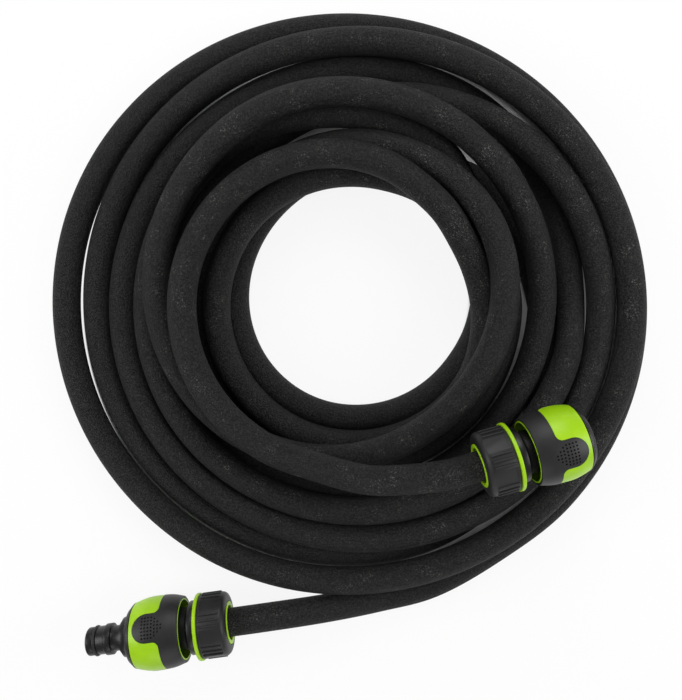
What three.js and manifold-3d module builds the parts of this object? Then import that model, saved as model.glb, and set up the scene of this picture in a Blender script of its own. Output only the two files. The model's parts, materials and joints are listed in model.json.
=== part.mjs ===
// A coiled soaker hose with a push-fit connector on each end, one of them holding a double male coupler.
// Millimetres, +Z up. The hose lies on the plane z = 0, where the lower connector rests as well.
import * as THREE from 'three';
import { mergeVertices } from 'three/addons/utils/BufferGeometryUtils.js';
import Module from 'manifold-3d';

const wasm = await Module();
wasm.setup();

// ---- driving dimensions ----
// hose
const hoseRadius = 8;
const boreRadius = 5.5;
const loopSides = 6;
const loopBoreSides = 4;
const stretchSides = 12;
const stretchBoreSides = 8;
const stepsPerLoop = 24;
const flatDepth = 1.6;
const loopGap = 0.9;
const stretchStep = 18;
const straightRun = 16;

// clearances
const fitGap = 0.3;
const runningGap = 0.4;

// connector: body, measured along its axis from the nut's mouth
const roundSteps = 24;
const innerSteps = 18;
const stemStart = 4;
const stemLength = 15.1;
const stemWall = 1.3;
const barbDepth = 0.6;
const barbCount = 3;
const flangeRadius = 14.9;
const flangeThickness = 3.6;
const hubLength = 9.7;
const hubWall = 2;
const neckLength = 9.4;
const neckRadius = 11.6;
const shoulderThickness = 1.8;
const barrelWall = 2.25;
const seatSetBack = 16.7;
const springRoom = 12.6;
const noseLip = 0.9;
const neckFillet = 1;
const neckTaper = 1.75;
const barbSlope = 0.8;
const cutReach = 2;

// connector: collet and nut
const colletWall = 2.6;
const colletStart = 5.6;
const colletLength = 12.6;
const colletSlots = 6;
const colletSlotWidth = 1.4;
const colletSolidLength = 3;
const colletTaper = 1.2;
const colletTaperLength = 2.4;
const nutWall = 2.3;
const nutMouthGap = 1.4;
const nutLipWidth = 3.1;
const nutRingHeight = 2.45;
const nutRingWidth = 2.4;
const nutEndGap = 0.6;
const nutRampLength = 1.6;
const nutConeLength = 3.1;
const nutMouthWall = 0.8;
const nutLipLength = 3.3;
const nutGripStart = 0.4;
const nutGripThickness = 1.3;
const nutGripRound = [[3, 0.4], [0.7, 2.2], [0, 4.8]];
const ridgeGroups = 6;
const ridgesPerGroup = 3;
const ridgeSpacing = 3.2;
const ridgeWidth = 1.1;
const ridgeHeight = 0.6;
const ridgeRearGap = 3.4;
const ridgeFrontGap = 0.6;

// connector: sleeve, spring and jaws
const sleeveStandOff = 4.2;
const sleeveLength = 27.5;
const sleeveOpeningGap = 1.15;
const sleeveRearWall = 2;
const sleeveSwell = 2.1;
const sleeveProfile = [[0.71, 5.4], [1, 12.4], [1, 18.6]];
const sleeveNose = [0.9, 3];
const sleeveGripThickness = 1.3;
const sleeveTravel = 5;
const greenRingWidth = 0.5;
const rimLength = 3.4;
const rimWidth = 4.2;
const rimTaper = 3.2;
const rimStep = [1.4, 2.2];
const tongueCount = 3;
const tongueWidth = 15.4;
const tongueLength = 25.3;
const gripBandLength = 10.5;
const tongueFillet = 3.2;
const springWire = 1.5;
const springCurls = 4;
const springSides = 5;
const stepsPerCurl = 10;
const jawCount = 3;
const jawWidth = 5.8;
const jawTravel = 1.6;
const jawChamfer = 1;

// coupler with a male nipple each way
const tipRadius = 7.8;
const tipLength = 11;
const tipChamfer = 0.7;
const grooveStart = 4;
const grooveWidth = 2.2;
const grooveDepth = 1.3;
const sealSquash = 0.25;
const sealRound = 0.3;
const ridgeRadius = 8.65;
const ridgeLength = 3.6;
const waistRadius = 7;
const waistLength = 5.5;
const couplerStepRadius = 9.2;
const couplerStepLength = 1.4;
const collarRadius = 11;
const collarThickness = 3;
const couplerBoreRadius = 4.6;

// where the connectors lie: the middle of the nut's mouth, then heading, roll, the nut's own turn and
// dip in degrees
const outletMouth = [-64.5, -159.5];
const outletHeading = 187.9;
const outletRoll = 30;
const outletNutTurn = 0;
const inletMouth = [72.8, -61.2, 58];
const inletHeading = 15.5;
const inletRoll = 8;
const inletNutTurn = -19;
const inletDip = 3;

// the coil's axis
const coilCentre = [8.5, 28.5];

// Where the hose lies in the coil, chosen by hand from its start at the free tail to its last upper loop:
// degrees travelled, counted anticlockwise from the coil's right side, millimetres from the coil's axis,
// and millimetres above the floor. A negative angle comes before the first loop.
const coilStations = [
  [-60, 171, 7], [-30, 171, 6.4], [0, 169.5, 6.4], [90, 162.8, 6.4], [180, 175.2, 6.4], [230, 168, 10],
  [270, 159, 18], [315, 157, 24], [360, 156.9, 22], [450, 148.8, 21], [500, 154, 9], [540, 156.4, 6.4],
  [600, 153.5, 6.4], [630, 155, 6.4], [645, 159, 6.4], [660, 162, 6.4], [675, 151, 6.4], [690, 133, 6.4],
  [705, 113, 6.4], [720, 100, 6.4], [765, 104, 6.4], [780, 98, 6.4], [810, 83, 6.4], [900, 72.4, 6.4],
  [990, 70.5, 6.4], [1035, 74, 6.4], [1080, 77, 6.4], [1110, 86, 6.4], [1125, 90, 12], [1140, 97, 21],
  [1170, 110, 23], [1260, 123.9, 16], [1350, 120, 22], [1440, 128, 6.4], [1470, 134, 6.4],
  [1485, 145, 6.4], [1500, 154, 6.4], [1515, 150, 6.4], [1530, 144, 6.4], [1575, 140.5, 6.4],
  [1620, 140.2, 11], [1710, 136.3, 21], [1800, 144.9, 12], [1845, 141, 23], [1860, 136, 22],
  [1890, 123, 15], [1905, 101, 6.4], [1920, 98, 6.4], [1935, 104, 6.4], [1980, 110, 6.4],
  [2070, 118, 6.4], [2160, 105.7, 24], [2250, 116.5, 39], [2340, 116, 31], [2395, 100, 26],
  [2430, 86, 25], [2520, 78.9, 38.4], [2565, 87.5, 36], [2610, 93.8, 22], [2700, 90, 6.4],
  [2790, 101, 6.4], [2835, 98, 6.4], [2880, 91, 15], [2895, 86, 23], [2910, 79, 24], [2925, 74, 21],
  [2970, 76.8, 23], [3060, 81, 21], [3110, 86, 14], [3150, 86, 14], [3190, 83, 20], [3240, 74.5, 23],
  [3262, 70.5, 28], [3285, 70.5, 37], [3330, 79.4, 40], [3420, 99.9, 41], [3465, 98, 43],
  [3495, 94.5, 47.5],
];
const easeRounds = 400;
const easeHold = 0.03;
const easeSmooth = 0.06;

// the ways between the coil and the two connectors' nuts
const tailPoints = [[-9.5, -153.6, 14.5], [22.5, -148.8, 10.5], [54.6, -141.2, 8.4]];
const topPoints = [[14, -69.6, 52.5], [32, -69, 56]];

// ---- materials ----
const rubber = (color) => new THREE.MeshStandardMaterial({ color, roughness: 0.95, metalness: 0 });
const plastic = (color) => new THREE.MeshStandardMaterial({ color, roughness: 0.45, metalness: 0 });
const steel = () => new THREE.MeshStandardMaterial({ color: 0xb9bcc0, roughness: 0.3, metalness: 1 });
const black = 0x26272a;
const lime = 0x8fc31f;

// ---- helpers ----
const degrees = THREE.MathUtils.degToRad;

function toSolid(geometry) {
  const bare = geometry.clone();
  bare.deleteAttribute('normal');
  bare.deleteAttribute('uv');
  const merged = mergeVertices(bare, 1e-4);
  return new wasm.Manifold(new wasm.Mesh({
    numProp: 3,
    vertProperties: new Float32Array(merged.attributes.position.array),
    triVerts: new Uint32Array(merged.index.array),
  }));
}

function toGeometry(solid) {
  const { vertProperties, triVerts, numProp } = solid.getMesh();
  const positions = new Float32Array(triVerts.length * 3);
  triVerts.forEach((vertex, i) => {
    for (let k = 0; k < 3; k += 1) positions[i * 3 + k] = vertProperties[vertex * numProp + k];
  });
  const geometry = new THREE.BufferGeometry();
  geometry.setAttribute('position', new THREE.BufferAttribute(positions, 3));
  geometry.computeVertexNormals();
  return geometry;
}

// A closed outline of [radius, height] pairs turned about +Z.
function turned(outline, steps = roundSteps) {
  const area = outline.reduce((sum, [r, z], i) => {
    const [nextR, nextZ] = outline[(i + 1) % outline.length];
    return sum + r * nextZ - nextR * z;
  }, 0);
  const ordered = area > 0 ? outline : [...outline].reverse();
  const points = [...ordered, ordered[0]].map(([r, z]) => new THREE.Vector2(r, z));
  return new THREE.LatheGeometry(points, steps).rotateX(Math.PI / 2);
}

function box(width, depth, height, x, y, z) {
  return new THREE.BoxGeometry(width, depth, height).translate(x, y, z);
}

// One copy of a solid at each of count equal turns about +Z.
function around(solid, count, startAngle = 0) {
  let all = solid.rotate([0, 0, startAngle]);
  for (let k = 1; k < count; k += 1) all = all.add(solid.rotate([0, 0, startAngle + (360 * k) / count]));
  return all;
}

function addMesh(group, name, geometry, material) {
  const mesh = new THREE.Mesh(geometry, material);
  mesh.name = name;
  group.add(mesh);
  return mesh;
}

// ---- connector ----
// radii, from the hose outwards
const stemRadius = boreRadius * Math.cos(Math.PI / stretchBoreSides) - runningGap;
const colletInner = hoseRadius + runningGap;
const hubInner = colletInner + colletWall + runningGap;
const hubRadius = hubInner + hubWall;
const nutBore = hubRadius + runningGap;
const nutRadius = nutBore + nutWall;
const nutMouthRadius = hoseRadius + nutMouthGap;
const nutLipRadius = nutMouthRadius + nutLipWidth;
const nutRingRadius = nutRadius + nutRingHeight;
const socketRadius = ridgeRadius + runningGap;
const barrelRadius = socketRadius + barrelWall;
const jawOuter = barrelRadius + fitGap;
const camRadius = jawOuter + fitGap;
const camSlope = jawTravel / sleeveTravel;
const sleeveOpeningRadius = flangeRadius + sleeveOpeningGap;
const sleeveRearRadius = sleeveOpeningRadius + sleeveRearWall;
const sleeveRadius = sleeveRearRadius + sleeveSwell;
const springRadius = (barrelRadius + sleeveOpeningRadius) / 2;

// places along the axis, from the nut's mouth to the nose
const flangeStart = stemStart + stemLength;
const flangeEnd = flangeStart + flangeThickness;
const nutLength = flangeStart - nutEndGap;
const nutRingStart = nutLength - nutRingWidth;
const nutShoulderZ = nutLipLength + nutRampLength;
const shoulderStart = flangeEnd + neckLength;
const shoulderEnd = shoulderStart + shoulderThickness;
const springChamberEnd = shoulderEnd + springRoom;
const jawLength = waistLength - noseLip - 3 * fitGap;
const sleeveStart = flangeEnd + sleeveStandOff;
const sleeveFront = sleeveStart + sleeveLength;
const seatZ = sleeveFront - seatSetBack;
const ridgeEnd = seatZ + tipLength + ridgeLength;
const jawStart = ridgeEnd + fitGap;
const noseEnd = jawStart + jawLength + fitGap + noseLip;
const camStart = jawStart - fitGap;
const rimStart = sleeveFront + fitGap;
const rimEnd = rimStart + rimLength;
const rimInside = Math.max(camRadius + camSlope * (rimEnd - jawStart), collarRadius) + fitGap;
const sleeveFrontRadius = rimInside + rimWidth;

function bodyGeometry() {
  const outline = [[stemRadius - stemWall, stemStart]];
  const barbPitch = stemLength / (barbCount + 1);
  for (let k = 0; k < barbCount; k += 1) {
    const z = stemStart + k * barbPitch;
    outline.push([stemRadius - barbDepth, z], [stemRadius, z + barbPitch * barbSlope]);
  }
  const sealRadius = tipRadius + runningGap;
  const ridgeFrontZ = seatZ + tipLength - fitGap;
  outline.push(
    [stemRadius - barbDepth, stemStart + barbCount * barbPitch],
    [stemRadius - barbDepth, flangeStart],
    [hubInner, flangeStart],
    [hubInner, flangeStart - hubLength],
    [hubRadius, flangeStart - hubLength],
    [hubRadius, flangeStart],
    [flangeRadius, flangeStart],
    [flangeRadius, flangeEnd],
    [neckRadius + neckFillet, flangeEnd],
    [neckRadius, flangeEnd + neckTaper],
    [neckRadius, shoulderStart - neckTaper],
    [neckRadius + neckFillet, shoulderStart],
    [flangeRadius, shoulderStart],
    [flangeRadius, shoulderEnd],
    [barrelRadius, shoulderEnd],
    [barrelRadius, noseEnd],
    [socketRadius, noseEnd],
    [socketRadius, ridgeFrontZ],
    [sealRadius, ridgeFrontZ],
    [sealRadius, seatZ - fitGap],
    [stemRadius - stemWall, seatZ - fitGap],
  );
  const window = toSolid(jawBlock(fitGap, tipRadius, barrelRadius + cutReach));
  return toGeometry(toSolid(turned(outline, innerSteps)).subtract(around(window, jawCount)));
}

// The block that a jaw fills, grown by a margin, between two radii, about the +X axis.
function jawBlock(margin, inner, outer) {
  const width = jawWidth + 2 * margin;
  const length = jawLength + 2 * margin;
  return box(outer - inner, width, length, (inner + outer) / 2, 0, jawStart + jawLength / 2);
}

function jawGeometry() {
  const inner = waistRadius + runningGap;
  const jawEnd = jawStart + jawLength;
  const ring = turned([
    [inner, jawStart],
    [jawOuter, jawStart],
    [jawOuter + camSlope * jawLength, jawEnd],
    [inner + jawChamfer, jawEnd],
  ], innerSteps);
  const block = jawBlock(0, inner - cutReach, jawOuter + cutReach);
  return toGeometry(toSolid(ring).intersect(toSolid(block)));
}

function colletGeometry() {
  const inner = colletInner;
  const outer = inner + colletWall;
  const end = colletStart + colletLength;
  const ring = turned([
    [inner, colletStart],
    [outer - colletTaper, colletStart],
    [outer, colletStart + colletTaperLength],
    [outer, end],
    [inner, end],
  ], innerSteps);
  const slotEnd = end - colletSolidLength;
  const slotStart = colletStart - cutReach;
  const slot = box(outer, colletSlotWidth, slotEnd - slotStart, outer, 0, (slotStart + slotEnd) / 2);
  return toGeometry(toSolid(ring).subtract(around(toSolid(slot), colletSlots, 180 / colletSlots)));
}

function nutGeometry() {
  const coneStart = colletStart - runningGap;
  return turned([
    [nutMouthRadius, 0],
    [nutLipRadius, 0],
    [nutLipRadius, nutLipLength],
    [nutRadius, nutShoulderZ],
    [nutRadius, nutRingStart],
    [nutRingRadius, nutRingStart],
    [nutRingRadius, nutLength],
    [nutBore, nutLength],
    [nutBore, coneStart + nutConeLength],
    [colletInner + colletWall - colletTaper + runningGap, coneStart],
    [nutMouthRadius, coneStart - nutMouthWall],
  ]);
}

function nutGripGeometry() {
  const inner = nutRadius + fitGap;
  const outer = inner + nutGripThickness;
  const end = nutRingStart - fitGap;
  let grip = toSolid(turned([
    [nutLipRadius + fitGap, nutGripStart],
    ...nutGripRound.map(([inset, ahead]) => [outer - inset, nutGripStart + ahead]),
    [outer, end],
    [inner, end],
    [inner, nutShoulderZ - fitGap],
    [nutLipRadius + fitGap, nutLipLength - 2 * fitGap],
  ]));
  const ridgeEnd = end - ridgeFrontGap;
  const ridgeStart = nutGripStart + ridgeRearGap;
  for (let k = 0; k < ridgesPerGroup; k += 1) {
    const depth = ridgeHeight + nutGripThickness / 2;
    const middle = (ridgeStart + ridgeEnd) / 2;
    const ridge = box(depth, ridgeWidth, ridgeEnd - ridgeStart, outer + ridgeHeight - depth / 2, 0, middle);
    const turn = ((k - (ridgesPerGroup - 1) / 2) * ridgeSpacing * 180) / (Math.PI * outer);
    grip = grip.add(around(toSolid(ridge), ridgeGroups, turn));
  }
  return toGeometry(grip);
}

// The sleeve's outer surface, drawn in by a depth.
function sleeveOutline(depth, rear, front) {
  const points = [
    [sleeveRearRadius, sleeveStart],
    ...sleeveProfile.map(([share, ahead]) => [sleeveRearRadius + share * sleeveSwell, sleeveStart + ahead]),
    [sleeveFrontRadius + sleeveNose[0], sleeveFront - sleeveNose[1]],
    [sleeveFrontRadius, sleeveFront],
  ];
  const radiusAt = (z) => {
    const i = Math.min(points.findIndex(([, top]) => top >= z) || 1, points.length - 1);
    const [[r0, z0], [r1, z1]] = [points[i - 1], points[i]];
    return THREE.MathUtils.mapLinear(z, z0, z1, r0, r1) - depth;
  };
  const inner = points.filter(([, z]) => z > rear && z < front).map(([r, z]) => [r - depth, z]);
  return [[radiusAt(rear), rear], ...inner, [radiusAt(front), front]];
}

// One tongue of the grip seen from outside, grown by a margin: across it, and along the axis.
function tongueShape(margin) {
  const half = tongueWidth / 2 + margin;
  const wide = half + tongueFillet - margin;
  const bandEnd = sleeveStart + gripBandLength + margin;
  const fillet = tongueFillet - margin;
  const shape = new THREE.Shape();
  shape.moveTo(-wide, bandEnd - cutReach);
  shape.lineTo(wide, bandEnd - cutReach);
  shape.lineTo(wide, bandEnd);
  shape.absarc(half + fillet, bandEnd + fillet, fillet, degrees(270), degrees(180), true);
  shape.absarc(0, sleeveStart + tongueLength + margin - half, half, 0, Math.PI, false);
  shape.absarc(-half - fillet, bandEnd + fillet, fillet, 0, degrees(-90), true);
  shape.closePath();
  return shape;
}

// All the room that the grip takes: its band and its tongues between the jaws, grown by a margin.
function gripRoom(margin) {
  const reach = sleeveRadius + cutReach;
  const tongue = new THREE.ExtrudeGeometry(tongueShape(margin), {
    depth: reach,
    curveSegments: 3,
    bevelEnabled: false,
  }).applyMatrix4(new THREE.Matrix4().set(
    0, 0, 1, 0,
    1, 0, 0, 0,
    0, 1, 0, 0,
    0, 0, 0, 1,
  ));
  const band = turned([
    [boreRadius, sleeveStart - cutReach],
    [reach, sleeveStart - cutReach],
    [reach, sleeveStart + gripBandLength + margin],
    [boreRadius, sleeveStart + gripBandLength + margin],
  ]);
  return toSolid(band).add(around(toSolid(tongue), tongueCount, 180 / jawCount));
}

function sleeveGeometry() {
  const outer = sleeveOutline(0, sleeveStart, sleeveFront);
  const camEnd = camRadius + camSlope * (sleeveFront - camStart);
  const shell = toSolid(turned([
    ...outer,
    [camEnd, sleeveFront],
    [camRadius, camStart],
    [camRadius, springChamberEnd],
    [sleeveOpeningRadius, springChamberEnd],
    [sleeveOpeningRadius, sleeveStart],
  ]));
  const gripLayer = toSolid(turned([
    ...sleeveOutline(sleeveGripThickness + fitGap, sleeveStart + greenRingWidth, sleeveFront),
    [sleeveRadius + cutReach, sleeveFront],
    [sleeveRadius + cutReach, sleeveStart + greenRingWidth],
  ]));
  return toGeometry(shell.subtract(gripLayer.intersect(gripRoom(fitGap))));
}

function sleeveGripGeometry() {
  const rear = sleeveStart + greenRingWidth + fitGap;
  const layer = toSolid(turned([
    ...sleeveOutline(0, rear, sleeveFront),
    ...sleeveOutline(sleeveGripThickness, rear, sleeveFront).reverse(),
  ]));
  return toGeometry(layer.intersect(gripRoom(0)));
}

function rimGeometry() {
  return turned([
    [sleeveFrontRadius, rimStart],
    [sleeveFrontRadius - rimStep[0], rimStart + rimStep[1]],
    [sleeveFrontRadius - rimTaper, rimEnd],
    [rimInside, rimEnd],
    [rimInside, rimStart],
  ]);
}

function springGeometry() {
  const start = shoulderEnd + fitGap + springWire / 2;
  const end = springChamberEnd - fitGap - springWire / 2;
  const count = springCurls * stepsPerCurl;
  const centres = [];
  for (let i = 0; i <= count; i += 1) {
    const turn = (2 * Math.PI * i) / stepsPerCurl;
    const z = start + ((end - start) * i) / count;
    centres.push(new THREE.Vector3(springRadius * Math.cos(turn), springRadius * Math.sin(turn), z));
  }
  return tube(centres, [{ radius: springWire / 2, sides: springSides }]);
}

// A tube joined from rings of points along a run of centres. A second, smaller ring makes it hollow.
function tube(centres, rings) {
  const positions = [];
  const index = [];
  const last = centres.length - 1;
  const up = new THREE.Vector3(0, 0, 1);
  centres.forEach((centre, i) => {
    const behind = centres[Math.max(i - 1, 0)];
    const ahead = centres[Math.min(i + 1, last)];
    const way = new THREE.Vector3().subVectors(ahead, behind).normalize();
    const side = new THREE.Vector3().crossVectors(way, up).normalize();
    const rise = new THREE.Vector3().crossVectors(side, way);
    rings.forEach(({ radius, sides }) => {
      for (let k = 0; k < sides; k += 1) {
        const turn = (2 * Math.PI * (k + 0.5)) / sides - Math.PI / 2;
        const point = centre.clone();
        point.addScaledVector(side, radius * Math.cos(turn)).addScaledVector(rise, radius * Math.sin(turn));
        positions.push(point.x, point.y, point.z);
      }
    });
  });
  const perStep = rings.reduce((sum, { sides }) => sum + sides, 0);
  let offset = 0;
  rings.forEach(({ sides }, ring) => {
    for (let i = 0; i < last; i += 1) {
      for (let k = 0; k < sides; k += 1) {
        const a = i * perStep + offset + k;
        const b = i * perStep + offset + ((k + 1) % sides);
        const c = a + perStep;
        const d = b + perStep;
        if (ring === 0) index.push(a, c, b, b, c, d);
        else index.push(a, b, c, b, d, c);
      }
    }
    offset += sides;
  });
  closeEnd(index, rings, 0, false);
  closeEnd(index, rings, last * perStep, true);
  const geometry = new THREE.BufferGeometry();
  geometry.setAttribute('position', new THREE.Float32BufferAttribute(positions, 3));
  geometry.setIndex(index);
  geometry.computeVertexNormals();
  return geometry;
}

// The flat end of a tube: a fan on a full one, a band between the two rings of a hollow one.
function closeEnd(index, rings, first, forward) {
  const face = (a, b, c) => index.push(...(forward ? [a, c, b] : [a, b, c]));
  const [outer, inner] = rings;
  if (!inner) {
    for (let k = 1; k < outer.sides - 1; k += 1) face(first, first + k, first + k + 1);
    return;
  }
  const outerAt = (k) => first + (k % outer.sides);
  const innerAt = (k) => first + outer.sides + (k % inner.sides);
  let o = 0;
  let n = 0;
  while (o < outer.sides || n < inner.sides) {
    const outerNext = (o + 1.5) / outer.sides;
    const innerNext = (n + 1.5) / inner.sides;
    if (n >= inner.sides || (o < outer.sides && outerNext <= innerNext)) {
      face(outerAt(o), outerAt(o + 1), innerAt(n));
      o += 1;
    } else {
      face(outerAt(o), innerAt(n + 1), innerAt(n));
      n += 1;
    }
  }
}

function connector(prefix, nutTurn) {
  const group = new THREE.Group();
  const add = (name, geometry, material) => addMesh(group, `${prefix}_${name}`, geometry, material);
  add('body', bodyGeometry(), plastic(black));
  add('collet', colletGeometry(), plastic(0xd8d9d6));
  add('nut', nutGeometry(), plastic(lime)).rotation.z = degrees(nutTurn);
  add('nut_grip', nutGripGeometry(), rubber(black)).rotation.z = degrees(nutTurn);
  add('sleeve', sleeveGeometry(), plastic(lime));
  add('sleeve_grip', sleeveGripGeometry(), rubber(black));
  add('sleeve_rim', rimGeometry(), plastic(black));
  add('spring', springGeometry(), steel());
  for (let k = 0; k < jawCount; k += 1) {
    const jaw = add(`jaw_${k + 1}`, jawGeometry(), plastic(black));
    jaw.rotation.z = degrees((360 * k) / jawCount);
  }
  return group;
}

// ---- coupler ----
function nippleOutline(side) {
  const groove = tipRadius - grooveDepth;
  const waistStart = tipLength + ridgeLength;
  const base = waistStart + waistLength;
  const stations = [
    [couplerBoreRadius, 0],
    [tipRadius - tipChamfer, 0],
    [tipRadius, tipChamfer],
    [tipRadius, grooveStart],
    [groove, grooveStart],
    [groove, grooveStart + grooveWidth],
    [tipRadius, grooveStart + grooveWidth],
    [tipRadius, tipLength],
    [ridgeRadius, tipLength],
    [ridgeRadius, waistStart],
    [waistRadius, waistStart],
    [waistRadius, base],
    [couplerStepRadius, base],
    [couplerStepRadius, base + couplerStepLength],
    [collarRadius, base + couplerStepLength],
  ];
  const half = base + couplerStepLength + collarThickness / 2;
  return side < 0 ? stations : stations.map(([r, z]) => [r, 2 * half - z]).reverse();
}

function couplerGeometry() {
  return turned([...nippleOutline(-1), ...nippleOutline(1)], innerSteps);
}

function sealGeometry() {
  const inner = tipRadius - grooveDepth + fitGap;
  const outer = tipRadius + sealSquash;
  const start = grooveStart + fitGap;
  const end = grooveStart + grooveWidth - fitGap;
  const mid = (start + end) / 2;
  return turned([
    [inner, start + sealRound],
    [(inner + outer) / 2, start],
    [outer, mid],
    [(inner + outer) / 2, end],
    [inner, end - sealRound],
  ], innerSteps);
}

function coupler() {
  const group = new THREE.Group();
  const length = 2 * (tipLength + ridgeLength + waistLength + couplerStepLength) + collarThickness;
  addMesh(group, 'coupler_body', couplerGeometry(), plastic(black));
  addMesh(group, 'coupler_seal_inner', sealGeometry(), rubber(0x111111));
  const outerSeal = addMesh(group, 'coupler_seal_outer', sealGeometry(), rubber(0x111111));
  outerSeal.rotation.x = Math.PI;
  outerSeal.position.z = length;
  group.position.z = seatZ;
  return group;
}

// ---- hose ----
// A smooth value between hand-chosen stations [angle, ...values].
function between(stations, angle, column) {
  const last = stations.length - 2;
  const next = stations.findIndex(([at]) => at > angle);
  const i = next < 0 ? last : Math.max(next - 1, 0);
  const step = (k, of) => stations[k + 1][of] - stations[k][of];
  const slope = (k) => step(k, column) / step(k, 0);
  const tangent = (k) => {
    if (k === 0) return slope(0);
    if (k === stations.length - 1) return slope(k - 1);
    const before = stations[k][0] - stations[k - 1][0];
    const after = stations[k + 1][0] - stations[k][0];
    return (slope(k - 1) * after + slope(k) * before) / (before + after);
  };
  const span = stations[i + 1][0] - stations[i][0];
  const s = (angle - stations[i][0]) / span;
  return (2 * s ** 3 - 3 * s ** 2 + 1) * stations[i][column]
    + (s ** 3 - 2 * s ** 2 + s) * span * tangent(i)
    + (3 * s ** 2 - 2 * s ** 3) * stations[i + 1][column]
    + (s ** 3 - s ** 2) * span * tangent(i + 1);
}

// The coil's centre line. At each of its angles the turns are a pile of circles: those that lie too
// close are pushed apart, while the hose stays smooth, near its stations and above the floor.
function coilCentres() {
  const step = 360 / stepsPerLoop;
  const floor = hoseRadius - flatDepth;
  const reach = 2 * hoseRadius + loopGap;
  const start = coilStations[0][0];
  const count = Math.round((coilStations[coilStations.length - 1][0] - start) / step) + 1;
  const chosen = Array.from({ length: count }, (_, i) => (
    [between(coilStations, start + i * step, 1), between(coilStations, start + i * step, 2)]
  ));
  let pile = chosen.map((pair) => [...pair]);
  for (let round = 0; round < easeRounds; round += 1) {
    const push = pile.map(() => [0, 0]);
    for (let i = 0; i < count; i += 1) {
      for (let j = i + stepsPerLoop; j < count; j += stepsPerLoop) {
        const across = pile[j][0] - pile[i][0];
        const rise = pile[j][1] - pile[i][1];
        const apart = Math.max(Math.hypot(across, rise), 1e-6);
        const short = Math.max(reach - apart, 0) / apart / 4;
        push[i][0] -= across * short;
        push[i][1] -= rise * short;
        push[j][0] += across * short;
        push[j][1] += rise * short;
      }
    }
    const moved = pile.map((pair, i) => pair.map((value, k) => value + push[i][k]));
    pile = moved.map((pair, i) => {
      if (i < 2) return chosen[i];
      const hold = round < easeRounds * 0.75 ? easeHold : 0;
      return pair.map((value, k) => {
        const inside = i < count - 1 && round < easeRounds * 0.95;
        const bend = inside ? (moved[i - 1][k] + moved[i + 1][k]) / 2 - value : 0;
        const eased = value + easeSmooth * bend;
        const held = eased + hold * (chosen[i][k] - eased);
        return k === 1 ? Math.max(held, floor) : held;
      });
    });
  }
  return pile.map(([radius, height], i) => {
    const turn = degrees(start + i * step);
    return new THREE.Vector3(
      coilCentre[0] + radius * Math.cos(turn),
      coilCentre[1] + radius * Math.sin(turn),
      height,
    );
  });
}

// The least gap of a run of points to itself, without the points next to each other along it.
function leastGap(points, near) {
  let least = Infinity;
  for (let i = 0; i < points.length; i += 1) {
    for (let j = i + near; j < points.length; j += 1) {
      least = Math.min(least, points[i].distanceTo(points[j]));
    }
  }
  return least - 2 * hoseRadius;
}

// A hollow hose along a curve, from one of its ends to the other.
function stretch(points) {
  const curve = new THREE.CatmullRomCurve3(points, false, 'centripetal');
  const section = new THREE.Shape();
  const bore = new THREE.Path();
  const ring = (path, radius, sides) => {
    for (let k = 0; k < sides; k += 1) {
      const turn = (2 * Math.PI * (k + 0.5)) / sides;
      const to = k === 0 ? 'moveTo' : 'lineTo';
      path[to](radius * Math.cos(turn), radius * Math.sin(turn));
    }
    path.closePath();
  };
  ring(section, hoseRadius, stretchSides);
  ring(bore, boreRadius, stretchBoreSides);
  section.holes.push(bore);
  const steps = Math.ceil(curve.getLength() / stretchStep);
  return new THREE.ExtrudeGeometry(section, { steps, extrudePath: curve, bevelEnabled: false });
}

// The coil with its underside cut flat where it stands on the floor.
function restingCoil(run) {
  const coil = toSolid(tube(run, [
    { radius: hoseRadius, sides: loopSides },
    { radius: boreRadius, sides: loopBoreSides },
  ]));
  return toGeometry(coil.trimByPlane([0, 0, 1], 0));
}

// ---- assembly ----
const part = new THREE.Group();

const outlet = connector('outlet', outletNutTurn);
outlet.add(coupler());
outlet.rotation.set(0, Math.PI / 2, degrees(outletHeading), 'ZYX');
outlet.rotateZ(degrees(outletRoll));
outlet.updateMatrixWorld(true);
outlet.position.set(outletMouth[0], outletMouth[1], -new THREE.Box3().setFromObject(outlet, true).min.z);
part.add(outlet);

const inlet = connector('inlet', inletNutTurn);
inlet.rotation.set(0, Math.PI / 2 + degrees(inletDip), degrees(inletHeading), 'ZYX');
inlet.rotateZ(degrees(inletRoll));
inlet.position.set(...inletMouth);
part.add(inlet);
part.updateMatrixWorld(true);

// A point on a connector's axis, at a distance from its nut's mouth.
const onAxis = (fitting, z) => new THREE.Vector3(0, 0, z).applyMatrix4(fitting.matrixWorld);
const hoseSeat = flangeStart - fitGap;

const centres = coilCentres();
const along = (from, to, distance) => (
  from.clone().addScaledVector(to.clone().sub(from).normalize(), distance)
);
const gapHalf = fitGap / 2;
const [first, second] = centres;
const [beforeLast, last] = centres.slice(-2);
const coilRun = [along(first, second, gapHalf), ...centres.slice(1, -1), along(last, beforeLast, gapHalf)];
addMesh(part, 'hose_coil', restingCoil(coilRun), rubber(black));

const tailRun = [
  onAxis(outlet, hoseSeat),
  onAxis(outlet, hoseSeat / 2),
  onAxis(outlet, -straightRun),
  ...tailPoints.map((point) => new THREE.Vector3(...point)),
  along(first, second, -straightRun),
  along(first, second, -gapHalf),
];
addMesh(part, 'hose_tail', stretch(tailRun), rubber(black));

const topRun = [
  along(last, beforeLast, -gapHalf),
  along(last, beforeLast, -straightRun),
  ...topPoints.map((point) => new THREE.Vector3(...point)),
  onAxis(inlet, -straightRun),
  onAxis(inlet, hoseSeat / 2),
  onAxis(inlet, hoseSeat),
];
addMesh(part, 'hose_top_end', stretch(topRun), rubber(black));

console.log(`least gap of the coil to itself ${leastGap(coilRun, stepsPerLoop / 2).toFixed(2)} mm`);

// The origin is under the middle of the two connectors, on the floor.
const reach = new THREE.Box3().setFromObject(outlet, true);
reach.union(new THREE.Box3().setFromObject(inlet, true));
const middle = reach.getCenter(new THREE.Vector3());
part.position.set(-middle.x, -middle.y, 0);

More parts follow.
